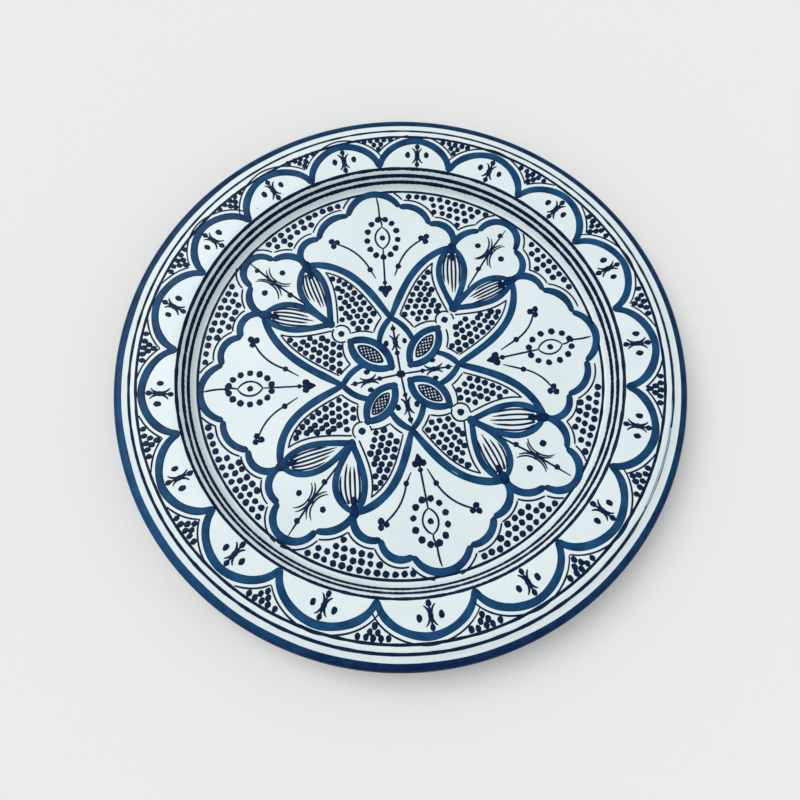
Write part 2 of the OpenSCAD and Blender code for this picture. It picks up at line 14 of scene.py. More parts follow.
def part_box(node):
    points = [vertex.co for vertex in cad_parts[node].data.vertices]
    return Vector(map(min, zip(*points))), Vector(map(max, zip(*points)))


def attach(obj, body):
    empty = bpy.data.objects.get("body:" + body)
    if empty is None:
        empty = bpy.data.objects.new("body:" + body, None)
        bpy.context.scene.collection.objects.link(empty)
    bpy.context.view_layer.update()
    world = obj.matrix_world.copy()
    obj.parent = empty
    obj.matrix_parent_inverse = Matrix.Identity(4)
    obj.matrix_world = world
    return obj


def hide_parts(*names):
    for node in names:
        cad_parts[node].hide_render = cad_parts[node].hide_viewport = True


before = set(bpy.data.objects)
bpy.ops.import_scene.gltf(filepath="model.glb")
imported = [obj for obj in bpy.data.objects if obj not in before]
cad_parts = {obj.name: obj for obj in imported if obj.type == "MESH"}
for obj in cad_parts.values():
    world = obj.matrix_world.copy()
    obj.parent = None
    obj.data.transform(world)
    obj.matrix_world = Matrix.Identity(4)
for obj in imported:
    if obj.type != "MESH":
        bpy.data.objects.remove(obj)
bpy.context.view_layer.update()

MM = 0.001
SEED = 11
draw = random.Random(SEED)

# ---- The plate's sizes, in millimetres --------------------------------------------------------

PLATE_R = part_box("front_glaze")[1].x / MM
FLOOR_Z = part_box("blade_strokes")[0].z / MM
RIM_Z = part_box("rim_scallops")[0].z / MM
WELL_R = 130.0
WALL_RUN = 10.5
RIM_IN_R = WELL_R + WALL_RUN
LIP_R = 4.2
LIP_DROP = 3.6
LIP_RUN = 10.4
LIP_CR = PLATE_R - LIP_R
LIP_CZ = RIM_Z - LIP_DROP - LIP_R
RIM_FLAT_R = LIP_CR - LIP_RUN
RIM_T = 9.6
FLOOR_T = 8.0
FOOT_R = 95.0
FOOT_W = 8.0
FOOT_H = 7.0
FOOT_TAPER = 1.5
FOOT_BARE = 2.0
GLAZE_T = 0.4

THICK_W = 4.9
LEAF_W = 4.1
SCALLOP_W = 4.7
THIN_W = 1.2
NET_W = 1.15
DOT_D = 4.3
PITCH = 5.2
WHITE_GAP = 1.7
FIELD_GAP = THICK_W / 2 + WHITE_GAP

FLOOR_RING_R = WELL_R - 0.7
FLOOR_RING_W = 2.0
INNER_LINE_R = RIM_IN_R - 1.2
INNER_LINE_W = 1.8
OUTER_LINE_R = RIM_FLAT_R - 1.4
OUTER_LINE_W = 2.0
PINSTRIPE_R = RIM_FLAT_R + 3.6
PINSTRIPE_W = 2.2
LOWER_LINE_R = WELL_R + 0.38 * WALL_RUN
UPPER_LINE_R = WELL_R + 0.6 * WALL_RUN
WALL_LINE_W = 1.45
LIP_BAND_R = LIP_CR - 1.4


# ---- Plane geometry ---------------------------------------------------------------------------

def ease(t):
    return t * t * (3 - 2 * t)


def clamp(t, low=0.0, high=1.0):
    return min(high, max(low, t))


def front_height(r):
    """Height of the front surface above the foot's resting face."""
    wall = clamp((r - WELL_R) / WALL_RUN)
    fall = clamp((r - RIM_FLAT_R) / LIP_RUN)
    height = FLOOR_Z + (RIM_Z - FLOOR_Z) * ease(wall) - LIP_DROP * ease(fall)
    if r > LIP_CR:
        height -= LIP_R - math.sqrt(max(0.0, LIP_R ** 2 - (r - LIP_CR) ** 2))
    return height


def spot(x, y):
    return Vector((x, y))


def spots(*pairs):
    return [Vector(pair) for pair in pairs]


def polar(r, degrees):
    a = math.radians(degrees)
    return Vector((r * math.cos(a), r * math.sin(a)))


def bearing(p, q):
    return math.degrees(math.atan2(q.y - p.y, q.x - p.x))


def turned(p, degrees):
    a = math.radians(degrees)
    return Vector((p.x * math.cos(a) - p.y * math.sin(a), p.x * math.sin(a) + p.y * math.cos(a)))


def right_of(v):
    return Vector((v.y, -v.x))


def arc(p, q, bulge, steps=14):
    """A circular arc from p to q. bulge is its height over its chord; a positive one is to the right."""
    along = (q - p).normalized()
    chord = (q - p).length
    side = right_of(along) * (1 if bulge > 0 else -1)
    rise = abs(bulge) * chord
    radius = (chord * chord / 4 + rise * rise) / (2 * rise)
    middle = (p + q) / 2 - side * (radius - rise)
    half = 2 * math.atan(2 * abs(bulge))
    turns = [half * (2 * i / steps - 1) for i in range(steps + 1)]
    return [middle + radius * (side * math.cos(a) + along * math.sin(a)) for a in turns]


def bow(p, q, bulge, lean, steps=16):
    """Like arc, but fullest nearer to p; lean is 1 when it is even."""
    side = right_of((q - p).normalized()) * bulge * (q - p).length
    shares = [i / steps for i in range(steps + 1)]
    return [p + (q - p) * t + side * math.sin(math.pi * t ** lean) for t in shares]


def line(p, q, steps=4):
    return [p + (q - p) * i / steps for i in range(steps + 1)]


def joined(*paths):
    out = []
    for path in paths:
        out += [p for p in path if not out or (p - out[-1]).length > 1e-4]
    return out


class Walk:
    """Positions and headings along a path by the distance walked from its start."""

    def __init__(self, path):
        self.path = path
        self.marks = [0.0]
        for a, b in zip(path, path[1:]):
            self.marks.append(self.marks[-1] + (b - a).length)
        self.length = self.marks[-1]

    def at(self, s):
        s = clamp(s, 0.0, self.length)
        i = 1
        while i < len(self.marks) - 1 and self.marks[i] < s:
            i += 1
        span = self.marks[i] - self.marks[i - 1]
        t = (s - self.marks[i - 1]) / span if span else 0.0
        return self.path[i - 1].lerp(self.path[i], t)

    def heading(self, s):
        reach = min(0.6, self.length / 4)
        ahead = self.at(s + reach)
        behind = self.at(s - reach)
        return (ahead - behind).normalized()


def inside(p, loop):
    odd = False
    for a, b in zip(loop, loop[1:] + loop[:1]):
        if (a.y > p.y) != (b.y > p.y) and p.x < a.x + (b.x - a.x) * (p.y - a.y) / (b.y - a.y):
            odd = not odd
    return odd


def off_path(p, path):
    """Distance from p to the nearest point of an open path."""
    best = 1e9
    for a, b in zip(path, path[1:]):
        ab = b - a
        t = clamp((p - a).dot(ab) / max(ab.length_squared, 1e-9))
        best = min(best, (p - a - ab * t).length)
    return best


def runs_at(path, gap, side, clear):
    """The stretches of a line drawn gap away from a path that keep clear of everything else."""
    walk = Walk(path)
    count = max(6, round(walk.length / 0.8))
    runs = [[]]
    for i in range(count + 1):
        s = walk.length * i / count
        p = walk.at(s) + right_of(walk.heading(s)) * gap * side
        if clear(p):
            runs[-1].append(p)
        elif runs[-1]:
            runs.append([])
    return [run for run in runs if len(run) > 5]


# ---- Painted pieces ---------------------------------------------------------------------------

class Waver:
    """A smooth random number along a stroke, between about -1 and 1."""

    def __init__(self, pace):
        self.terms = [(draw.uniform(0.6, 1.4) / pace, draw.uniform(0, math.tau)) for _ in range(3)]

    def at(self, s):
        return sum(math.sin(math.tau * s * rate + start) for rate, start in self.terms) / 2.2


class Painting:
    """One piece of the painting, to which strokes and dots are added."""

    def __init__(self):
        self.bm = bmesh.new()
        self.edge = self.bm.verts.layers.float.new("edge")
        self.wash = self.bm.verts.layers.float.new("wash")
        self.layer = 0

    def _add(self, mark, place):
        """Adds a mark whose vertices are moved to where place() says; place also gives edge and wash."""
        edge = mark.verts.layers.float.new("edge")
        wash = mark.verts.layers.float.new("wash")
        for v in mark.verts:
            co, v[edge], v[wash] = place(v.co.copy())
            v.co = co * MM
        bmesh.ops.recalc_face_normals(mark, faces=mark.faces[:])
        mesh = bpy.data.meshes.new("mark")
        mark.to_mesh(mesh)
        mark.free()
        self.bm.from_mesh(mesh)
        bpy.data.meshes.remove(mesh)
        self.layer += 1

    def stroke(self, path, width, ends=(0.7, 0.7), shade=0.0, crown=0.1, waver=0.05, across=4, step=1.6,
               spread=None):
        """A brush stroke: fullest between its ends, round at both, a little darker where it starts."""
        walk = Walk(path)
        half = width / 2
        count = max(5, round(walk.length / step))
        cap = min(half, walk.length * 0.3)
        stops = [cap * (1 - math.cos(math.pi / 2 * i / 3)) for i in range(3)]
        stops += [cap + (walk.length - 2 * cap) * i / count for i in range(count + 1)]
        stops += [walk.length - s for s in reversed(stops[:3])]
        lift = 0.004 * (self.layer % 12)
        sway = Waver(max(14.0, 5 * width))
        load = Waver(26.0)
        tone = shade + draw.uniform(-0.12, 0.12)
        ease_in = max(2.5 * width, min(16.0, 0.22 * walk.length))

        def half_width(s):
            if spread:
                return half * spread(s / walk.length)
            start = ends[0] + (1 - ends[0]) * ease(clamp(s / ease_in))
            finish = ends[1] + (1 - ends[1]) * ease(clamp((walk.length - s) / ease_in))
            near_end = clamp(min(s, walk.length - s) / cap)
            rounded = math.sqrt(max(0.02, 1 - (1 - near_end) ** 2))
            return half * start * finish * rounded * (1 + waver * sway.at(s))

        mark = bmesh.new()
        columns = len(stops) - 1
        bmesh.ops.create_grid(mark, x_segments=columns, y_segments=across, size=0.5)
        bmesh.ops.extrude_face_region(mark, geom=mark.faces[:], use_keep_orig=True)
        mark.verts.ensure_lookup_table()
        deep = set(range(len(mark.verts) // 2))

        def place(co):
            column = round((co.x + 0.5) * columns)
            v = 2 * co.y
            s = stops[column]
            at = walk.at(s) + right_of(walk.heading(s)) * v * half_width(s)
            end = 1 - clamp(min(s, walk.length - s) / cap)
            rim = max(abs(v), end)
            height = crown * (1 - rim ** 3) - 0.012 + lift if co.z > -0.5 else -0.16
            pool = 0.35 * (1 - clamp(min(s, walk.length - s) / (1.6 * width))) * (width > 2)
            z = front_height(at.length) + height
            return Vector((at.x, at.y, z)), rim, tone + 0.22 * load.at(s) + pool

        lower = [v for v in mark.verts if v.index in deep]
        for v in lower:
            v.co.z = -1.0
        self._add(mark, place)

    def dot(self, p, size=DOT_D, shade=0.0, crown=0.11, squash=None, heading=None):
        """One touch of a loaded brush: round, never quite regular."""
        long = size / 2 * draw.uniform(0.94, 1.06)
        short = long * (squash or draw.uniform(0.89, 1.02))
        spin = draw.uniform(0, 180) if heading is None else heading
        lobes = draw.choice((3, 4, 5))
        start = draw.uniform(0, math.tau)
        tone = shade + draw.uniform(-0.25, 0.25)
        lift = 0.004 * (self.layer % 12)
        mark = bmesh.new()
        bmesh.ops.create_uvsphere(mark, u_segments=14, v_segments=6, radius=1.0)

        def place(co):
            rim = clamp(math.hypot(co.x, co.y))
            bump = 1 + 0.055 * math.sin(lobes * math.atan2(co.y, co.x) + start)
            flat = turned(spot(co.x * long * bump, co.y * short * bump), spin)
            at = p + flat
            z = front_height(at.length) + (crown * co.z + lift if co.z > 0 else 0.16 * co.z)
            return Vector((at.x, at.y, z)), rim, tone

        self._add(mark, place)

    def finish(self, name, nodes, slot, material):
        return piece_from(self.bm, name, nodes, material)


def piece_from(bm, name, nodes, material):
    """Turns a bmesh into a smooth piece that rides with the plate and stands for its CAD nodes."""
    mesh = bpy.data.meshes.new(name)
    bm.to_mesh(mesh)
    bm.free()
    for face in mesh.polygons:
        face.use_smooth = True
    piece = bpy.data.objects.new(name, mesh)
    bpy.context.scene.collection.objects.link(piece)
    mesh.materials.append(material)
    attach(piece, "root")
    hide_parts(*nodes)
    return piece


# ---- Finishes ---------------------------------------------------------------------------------

class Wire:
    """A number that varies over a surface; an expression on it adds the Math nodes."""

    def __init__(self, tree, socket):
        self.tree = tree
        self.socket = socket

    def _math(self, operation, first, second=0.0, clamped=False):
        node = self.tree.nodes.new("ShaderNodeMath")
        node.operation = operation
        node.use_clamp = clamped
        for i, value in enumerate((first, second)):
            if isinstance(value, Wire):
                self.tree.links.new(value.socket, node.inputs[i])
            else:
                node.inputs[i].default_value = value
        return Wire(self.tree, node.outputs[0])

    def __add__(self, other):
        return self._math("ADD", self, other)

    def __sub__(self, other):
        return self._math("SUBTRACT", self, other)

    def __rsub__(self, other):
        return self._math("SUBTRACT", other, self)

    def __mul__(self, other):
        return self._math("MULTIPLY", self, other)

    def __pow__(self, other):
        return self._math("POWER", self, other)

    def clamped(self):
        return self._math("ADD", self, 0.0, clamped=True)

    def over(self, level, spread):
        """0 well below the level and 1 well above it."""
        return ((self - level) * (1 / spread) + 0.5).clamped()

    __radd__ = __add__
    __rmul__ = __mul__


class Finish:
    """A material with a Principled shader, built up node by node."""

    def __init__(self, name, **constants):
        self.material = bpy.data.materials.new(name)
        self.material.use_nodes = True
        self.tree = self.material.node_tree
        self.tree.nodes.clear()
        self.shader = self.tree.nodes.new("ShaderNodeBsdfPrincipled")
        output = self.tree.nodes.new("ShaderNodeOutputMaterial")
        self.tree.links.new(self.shader.outputs[0], output.inputs[0])
        for socket, value in constants.items():
            self.shader.inputs[socket.replace("_", " ")].default_value = value
        self.place = self.node("TexCoord", output="Object")

    def node(self, kind, settings=None, output=0, sockets=None):
        """Adds a shader node: its settings first, then the values or links of its sockets."""
        node = self.tree.nodes.new("ShaderNode" + kind)
        for name, value in (settings or {}).items():
            setattr(node, name, value)
        for name, value in (sockets or {}).items():
            if isinstance(value, Wire):
                self.tree.links.new(value.socket, node.inputs[name])
            else:
                node.inputs[name].default_value = value
        return Wire(self.tree, node.outputs[output])

    def attribute(self, name):
        return self.node("Attribute", {"attribute_name": name}, "Fac")

    def noise(self, size, detail=3.0, rough=0.5, stretch=None):
        """Noise whose features are about size millimetres across."""
        place = self.place
        if stretch:
            place = self.node("Mapping", {}, 0, {"Vector": place, "Scale": stretch})
        sockets = {"Vector": place, "Scale": 1 / (size * MM), "Detail": detail, "Roughness": rough}
        return self.node("TexNoise", {}, "Fac", sockets)

    def distance(self, middle):
        """Distance in metres from a point given in millimetres."""
        sockets = {0: self.place, 1: Vector(middle) * MM}
        return self.node("VectorMath", {"operation": "DISTANCE"}, "Value", sockets)

    def specks(self, size, share):
        """Scattered round specks: 1 inside one. share is how much of each cell a speck may fill."""
        sockets = {"Vector": self.place, "Scale": 1 / (size * MM)}
        distance = self.node("TexVoronoi", {}, "Distance", sockets)
        return 1 - distance.over(share, share * 0.4)

    def mix(self, factor, low, high):
        """Blends two colours, or links that carry colours."""
        settings = {"data_type": "RGBA"}
        node = self.tree.nodes.new("ShaderNodeMix")
        for name, value in settings.items():
            setattr(node, name, value)
        for i, value in ((0, factor), (6, low), (7, high)):
            if isinstance(value, Wire):
                self.tree.links.new(value.socket, node.inputs[i])
            elif i:
                node.inputs[i].default_value = (*value, 1)
            else:
                node.inputs[i].default_value = value
        return Wire(self.tree, node.outputs[2])

    def bump(self, height, distance, strength=1.0):
        sockets = {"Height": height, "Distance": distance * MM, "Strength": strength}
        return self.node("Bump", {}, "Normal", sockets)

    def set(self, **wires):
        for socket, wire in wires.items():
            self.tree.links.new(wire.socket, self.shader.inputs[socket.replace("_", " ")])
        return self.material


def glaze_waves(finish):
    """The slow swell and the fine orange peel of a dipped glaze."""
    swell = finish.noise(38, 2.0)
    peel = finish.noise(2.2, 2.0)
    return finish.bump(swell * 0.8 + peel * 0.04, 0.25, 0.5)


def cobalt_wash():
    """Cobalt brushed on in one pass: thinner and lighter inside, pooled darker at the stroke's edges."""
    finish = Finish("cobalt_wash", Specular_IOR_Level=0.07)
    edge = finish.attribute("edge")
    wash = finish.attribute("wash")
    blotch = finish.noise(7, 3.0)
    grain = finish.noise(0.8, 2.0)
    depth = (edge ** 6) * 0.5 + wash * 0.6 + (blotch - 0.5) * 0.9 + (grain - 0.5) * 0.35 + 0.45
    colour = finish.mix(depth.clamped(), (0.013, 0.094, 0.232), (0.0001, 0.014, 0.062))
    colour = finish.mix(wash.over(-1.0, 0.6), (0.20, 0.36, 0.52), colour)
    rough = finish.noise(5) * 0.12 + 0.2
    return finish.set(Base_Color=colour, Roughness=rough, Normal=glaze_waves(finish))


def navy_line():
    """The dark, well loaded brush of the lines and dots."""
    finish = Finish("navy_line", Specular_IOR_Level=0.07)
    edge = finish.attribute("edge")
    wash = finish.attribute("wash")
    blotch = finish.noise(2.4, 3.0)
    depth = (edge ** 4) * 0.3 + wash * 0.7 + (blotch - 0.5) * 1.1 + 0.45
    colour = finish.mix(depth.clamped(), (0.003, 0.027, 0.084), (0.0001, 0.005, 0.024))
    colour = finish.mix(wash.over(-1.0, 0.6), (0.20, 0.36, 0.52), colour)
    rough = finish.noise(5) * 0.12 + 0.2
    return finish.set(Base_Color=colour, Roughness=rough, Normal=glaze_waves(finish))


def milk_glaze(name, white, cool, clay_show, flecks=()):
    """Opaque white tin glaze with cool clouds, pin holes and a few iron specks."""
    finish = Finish(name, Specular_IOR_Level=0.4)
    clouds = finish.noise(30, 4.0, 0.6)
    fine = finish.noise(1.6, 3.0, 0.6)
    colour = finish.mix(clouds.over(0.5, 0.35), white, cool)
    colour = finish.mix((fine.over(0.66, 0.18)) * 0.16, colour, (0.50, 0.56, 0.55))
    patches = finish.noise(16, 2.0).over(0.63, 0.12)
    iron = finish.specks(9, 0.045) * patches
    colour = finish.mix(iron * 0.75, colour, (0.23, 0.13, 0.07))
    pins = finish.specks(4.5, 0.05)
    colour = finish.mix(pins * 0.22, colour, clay_show)
    for middle, size, tint, share in flecks:
        ragged = finish.noise(0.9, 3.0, 0.7) * (0.9 * size * MM)
        reach = finish.distance(middle) + ragged
        colour = finish.mix((1 - reach.over(size * MM, 0.5 * size * MM)) * share, colour, tint)
    swell = finish.noise(38, 2.0)
    peel = finish.noise(2.2, 2.0)
    height = swell * 0.8 + peel * 0.05 - pins * 0.15
    rough = finish.noise(6) * 0.12 + 0.2
    return finish.set(Base_Color=colour, Roughness=rough, Normal=finish.bump(height, 0.25, 0.5))


def bare_clay():
    """Fired buff clay, wiped clean of glaze, with grog and blotches."""
    finish = Finish("bare_clay", Specular_IOR_Level=0.2)
    blotch = finish.noise(14, 4.0, 0.6)
    grain = finish.noise(0.7, 3.0, 0.7)
    colour = finish.mix(blotch.over(0.5, 0.4), (0.56, 0.36, 0.23), (0.46, 0.30, 0.20))
    colour = finish.mix(grain.over(0.62, 0.15) * 0.5, colour, (0.25, 0.15, 0.10))
    rough = grain * 0.2 + 0.75
    return finish.set(Base_Color=colour, Roughness=rough, Normal=finish.bump(grain + blotch * 0.6, 0.3, 0.8))


COBALT = cobalt_wash()
NAVY = navy_line()
IRON = (0.16, 0.09, 0.05)
WORN = (0.50, 0.40, 0.30)
# Each fleck's middle, radius, colour and strength: an iron speck and a worn spot near the lip
FLECKS = [((-93.2, 110.4, RIM_Z), 0.9, IRON, 0.85), ((59.5, -161.5, RIM_Z - 1.4), 1.6, WORN, 0.35)]
FRONT = milk_glaze("front_milk_glaze", (0.755, 0.845, 0.858), (0.708, 0.808, 0.824),
                   (0.55, 0.45, 0.35), FLECKS)
BACK = milk_glaze("back_milk_glaze", (0.76, 0.79, 0.75), (0.68, 0.71, 0.67), (0.50, 0.38, 0.28))
CLAY = bare_clay()


# ---- Clay and glazes --------------------------------------------------------------------------

def spun(bm, profile, steps=256):
    """Turns an outline of (radius, height) points round the plate's axis."""
    verts = [bm.verts.new((r * MM, 0, z * MM)) for r, z in profile]
    edges = [bm.edges.new(pair) for pair in zip(verts, verts[1:])]
    bmesh.ops.spin(bm, geom=verts + edges, cent=(0, 0, 0), axis=(0, 0, 1), angle=math.tau,
                   steps=steps, use_merge=True, use_duplicate=False)
    bmesh.ops.remove_doubles(bm, verts=bm.verts[:], dist=1e-6)


def shifted(curve, d):
    """The curve moved to its left by d."""
    out = []
    for i, p in enumerate(curve):
        along = (curve[min(i + 1, len(curve) - 1)] - curve[max(i - 1, 0)]).normalized()
        out.append(p - right_of(along) * d)
    return out


front_curve = [spot(0, FLOOR_Z)] + [spot(r, FLOOR_Z) for r in (30, 60, 90, 110, 120, 126)]
front_curve += [spot(WELL_R + WALL_RUN * i / 16, front_height(WELL_R + WALL_RUN * i / 16)) for i in range(17)]
front_curve += [spot(r, RIM_Z) for r in (146, 154, 161)]
front_curve += [spot(RIM_FLAT_R + LIP_RUN * i / 8, front_height(RIM_FLAT_R + LIP_RUN * i / 8))
                for i in range(9)]
front_curve += [spot(LIP_CR + LIP_R * math.cos(math.radians(a)), LIP_CZ + LIP_R * math.sin(math.radians(a)))
                for a in range(80, -91, -10)]

back_low = FLOOR_Z - FLOOR_T + 2
back_rise = RIM_Z - RIM_T - back_low
back_curve = [spot(LIP_CR, LIP_CZ - LIP_R), spot(RIM_IN_R + 14, RIM_Z - RIM_T)]
back_curve += [spot(WELL_R - 2 + (WALL_RUN + 6) * i / 12, back_low + back_rise * ease(i / 12))
               for i in range(12, -1, -1)]
back_curve += [spot(FOOT_R + FOOT_TAPER + 4, FOOT_H), spot(FOOT_R + FOOT_TAPER, FOOT_H - 1.5)]
foot_outer = [spot(FOOT_R + FOOT_TAPER * FOOT_BARE / FOOT_H, FOOT_BARE), spot(FOOT_R, 0)]
foot_inner = [spot(FOOT_R - FOOT_W, 0), spot(FOOT_R - FOOT_W - FOOT_TAPER * FOOT_BARE / FOOT_H, FOOT_BARE)]
recess_curve = [spot(FOOT_R - FOOT_W - FOOT_TAPER, FOOT_H - 1.5),
                spot(FOOT_R - FOOT_W - FOOT_TAPER - 4, FOOT_H), spot(0, FOOT_H)]


def spun_skin(curve, name, node, material):
    bm = bmesh.new()
    spun(bm, curve + shifted(curve, -GLAZE_T)[::-1])
    bmesh.ops.recalc_face_normals(bm, faces=bm.faces[:])
    return piece_from(bm, name, [node], material)


def thrown_body():
    bm = bmesh.new()
    outline = shifted(front_curve, -GLAZE_T) + shifted(back_curve + foot_outer[:1], -GLAZE_T) + foot_outer
    outline += foot_inner + shifted(foot_inner[1:] + recess_curve, -GLAZE_T)
    spun(bm, outline)
    bmesh.ops.recalc_face_normals(bm, faces=bm.faces[:])
    return piece_from(bm, "thrown_clay_body", ["clay_body"], CLAY)


thrown_body()
spun_skin(front_curve, "front_milk_skin", "front_glaze", FRONT)
spun_skin(back_curve + foot_outer[:1], "back_milk_skin", "back_glaze", BACK)
spun_skin(foot_inner[1:] + recess_curve, "recess_milk_skin", "foot_recess_glaze", BACK)


# ---- Rings painted on the wheel ---------------------------------------------------------------

def ring_path(r, waver, start, turn=364.0, drift=0.0, towards=0.0, dent=0.0, dented=118):
    """A ring drawn on the turning wheel: a little off centre or dented, and its end passes its start."""
    sway = Waver(0.4)
    steps = max(8, round(turn / 2))
    path = []
    for i in range(steps + 1):
        a = start + turn * i / steps
        off = drift * math.cos(math.radians(a - towards))
        off -= dent * math.exp(-((((a - dented + 180) % 360) - 180) / 26) ** 2)
        path.append(polar(r + off + waver * sway.at(i / steps), a))
    return path


def painted_ring(name, node, r, width, waver, start, drift=0.0, towards=0.0, dent=0.0):
    ring = Painting()
    path = ring_path(r, waver, start, drift=drift, towards=towards, dent=dent)
    ring.stroke(path, width, ends=(0.8, 0.5), step=4.0, waver=0.14, shade=0.15)
    ring.finish(name, [node], "navy_paint", NAVY)


def pinstripe():
    """It starts at the right, and its last stretch is no more than a pale double trace."""
    ring = Painting()
    path = ring_path(PINSTRIPE_R, 0.15, -14, 343, 0.75, 310)
    ring.stroke(path, PINSTRIPE_W, ends=(0.7, 0.35), step=4.0, waver=0.16)
    for r, first in ((PINSTRIPE_R + 0.9, -38), (PINSTRIPE_R - 0.1, -32)):
        ring.stroke(ring_path(r, 0.1, first, 24), 0.8, ends=(0.6, 0.6), shade=-1.1, step=4.0)
    ring.finish("pinstripe_ring", ["rim_pinstripe"], "navy_paint", NAVY)


pinstripe()
painted_ring("outer_rim_ring", "rim_outer_line", OUTER_LINE_R, OUTER_LINE_W, 0.12, 200, 0.2, 290, 1.5)
painted_ring("inner_rim_ring", "rim_inner_line", INNER_LINE_R, INNER_LINE_W, 0.12, 70)
painted_ring("upper_wall_ring", "upper_wall_line", UPPER_LINE_R, WALL_LINE_W, 0.1, 200)
painted_ring("lower_wall_ring", "lower_wall_line", LOWER_LINE_R, WALL_LINE_W, 0.1, 30)
painted_ring("floor_ring", "floor_ring_line", FLOOR_RING_R, FLOOR_RING_W, 0.15, -80)


def painted_lip():
    """The cobalt band over the lip, banded on the wheel, with an inner edge that wanders."""
    bm = bmesh.new()
    edge = bm.verts.layers.float.new("edge")
    wash = bm.verts.layers.float.new("wash")
    slope = LIP_CR - LIP_BAND_R
    curve = [spot(r, front_height(r)) for r in (LIP_BAND_R + slope * i / 4 for i in range(4))]
    curve += [spot(LIP_CR + LIP_R * math.cos(math.radians(a)), LIP_CZ + LIP_R * math.sin(math.radians(a)))
              for a in range(90, -65, -11)]
    spun(bm, curve + shifted(curve, 0.12)[::-1])
    ripple = Waver(0.05)
    tone = Waver(0.3)
    for v in bm.verts:
        r = math.hypot(v.co.x, v.co.y) / MM
        a = math.atan2(v.co.y, v.co.x)
        turn = a / math.tau % 1.0
        seam = math.sin(math.pi * turn)
        rise = clamp((v.co.z / MM - LIP_CZ) / LIP_R)
        if r < LIP_CR + 0.5:
            outward = 0.6 * math.cos(a - math.radians(350)) + 0.25 * ripple.at(turn) * seam
            grown = r + outward * clamp((LIP_CR + 0.5 - r) / slope)
            height = v.co.z / MM - front_height(r)
            at = polar(grown, 360 * turn)
            v.co = Vector((at.x, at.y, front_height(grown) + height)) * MM
        # Painted light: the band's wash is made lighter on its left, towards the window, and darker down the
        # lip's outer face, which is partly a heavier band and partly painted shade.
        left = max(0.0, math.cos(a - math.radians(195))) ** 2
        v[edge] = clamp((LIP_BAND_R + 0.5 - r) / 0.7)
        v[wash] = 0.3 * tone.at(turn) * seam + 0.55 - 0.45 * left + 1.9 * (1 - rise) ** 1.1
    bmesh.ops.recalc_face_normals(bm, faces=bm.faces[:])
    piece_from(bm, "lip_band_wash", ["lip_band"], COBALT)


painted_lip()

# ---- The rim ----------------------------------------------------------------------------------

SCALLOP_FEET = [15, 36, 56, 76, 95, 114, 134, 153, 175, 197, 218, 240, 264, 287, 310, 333, 354]
SCALLOPS = len(SCALLOP_FEET)
# Where the painter set the spray under each scallop, and how far it leans
SPRAY_ANGLES = [25.5, 45.9, 65.8, 85, 104.1, 124, 144.2, 164, 186.2, 207.3, 229.3, 252.5, 276.1, 298.9,
                322.6, 344.6, 365.1]
SPRAY_LEANS = [0, 0, 0, 3, -4, 0, 3, -12, -10, -3, 0, -5, 4, 2, 0, 4, 0]
SCALLOP_FOOT_R = INNER_LINE_R + INNER_LINE_W / 2
SCALLOP_TOP_R = OUTER_LINE_R - OUTER_LINE_W / 2 - SCALLOP_W / 2 - 0.1


def foot_angle(i):
    return SCALLOP_FEET[i % SCALLOPS] + (360 if i >= SCALLOPS else 0)


def scallop_middle(i):
    return (foot_angle(i) + foot_angle(i + 1)) / 2


def scallop_path(i):
    half = math.radians((foot_angle(i + 1) - foot_angle(i)) / 2)
    base = SCALLOP_FOOT_R * math.cos(half)
    wide = SCALLOP_FOOT_R * math.sin(half)
    path = []
    for k in range(25):
        t = math.radians(7.5 * k)
        c = math.cos(t)
        across = -wide * math.copysign(abs(c) ** 1.12, c)
        path.append(turned(spot(base + (SCALLOP_TOP_R - base) * math.sin(t), across), scallop_middle(i)))
    return path


scallop_paths = [scallop_path(i) for i in range(SCALLOPS)]


def rim_scallops():
    painting = Painting()
    for path in scallop_paths:
        painting.stroke(path, 1.04 * SCALLOP_W, ends=(0.85, 0.8), across=6)
    painting.finish("scallop_strokes", ["rim_scallops"], "cobalt_paint", COBALT)


def spray(painting, knot, heading, reach, high, wide, strokes=1, brush=1.3):
    """A knot on a stem, with bent strokes on both sides of it."""
    def at(x, y):
        return knot + turned(spot(x, y), heading)

    for side in (-1, 1):
        for k in range(strokes):
            out = side * (wide + 2.2 * k)
            near = side * (THIN_W * 0.6 + 1.3 * k)
            long = high * draw.uniform(0.9, 1.08)
            skew = draw.uniform(-0.5, 0.5)
            path = joined(arc(at(-long, out + skew), at(0, near), side * 0.14, 6),
                          arc(at(0, near), at(long, out - skew), side * 0.14, 6))
            painting.stroke(path, brush * THIN_W, ends=(0.6, 0.5))
    painting.stroke(line(at(-reach, 0), at(reach, 0)), 1.1 * THIN_W, ends=(0.9, 0.9))
    painting.dot(knot, 0.85 * DOT_D)


def rim_sprays():
    painting = Painting()
    reach = (SCALLOP_TOP_R - SCALLOP_FOOT_R) / 2 - SCALLOP_W / 4 - 0.1
    for angle, lean in zip(SPRAY_ANGLES, SPRAY_LEANS):
        heading = angle + lean
        knot = polar((SCALLOP_FOOT_R + SCALLOP_TOP_R) / 2 - SCALLOP_W / 4, angle)
        spray(painting, knot, heading, reach, 0.66 * reach, 3.6)
        for side in (-1, 1):
            bud = knot + turned(spot(side * 0.76 * reach, 0), heading)
            berry = knot + turned(spot(0.5, side * draw.uniform(6.1, 6.9)), heading)
            painting.dot(bud, 0.98 * DOT_D, squash=0.78, heading=heading)
            painting.dot(berry, 1.12 * DOT_D, squash=0.72, heading=heading)
    painting.finish("scallop_sprays", ["rim_sprays"], "navy_paint", NAVY)


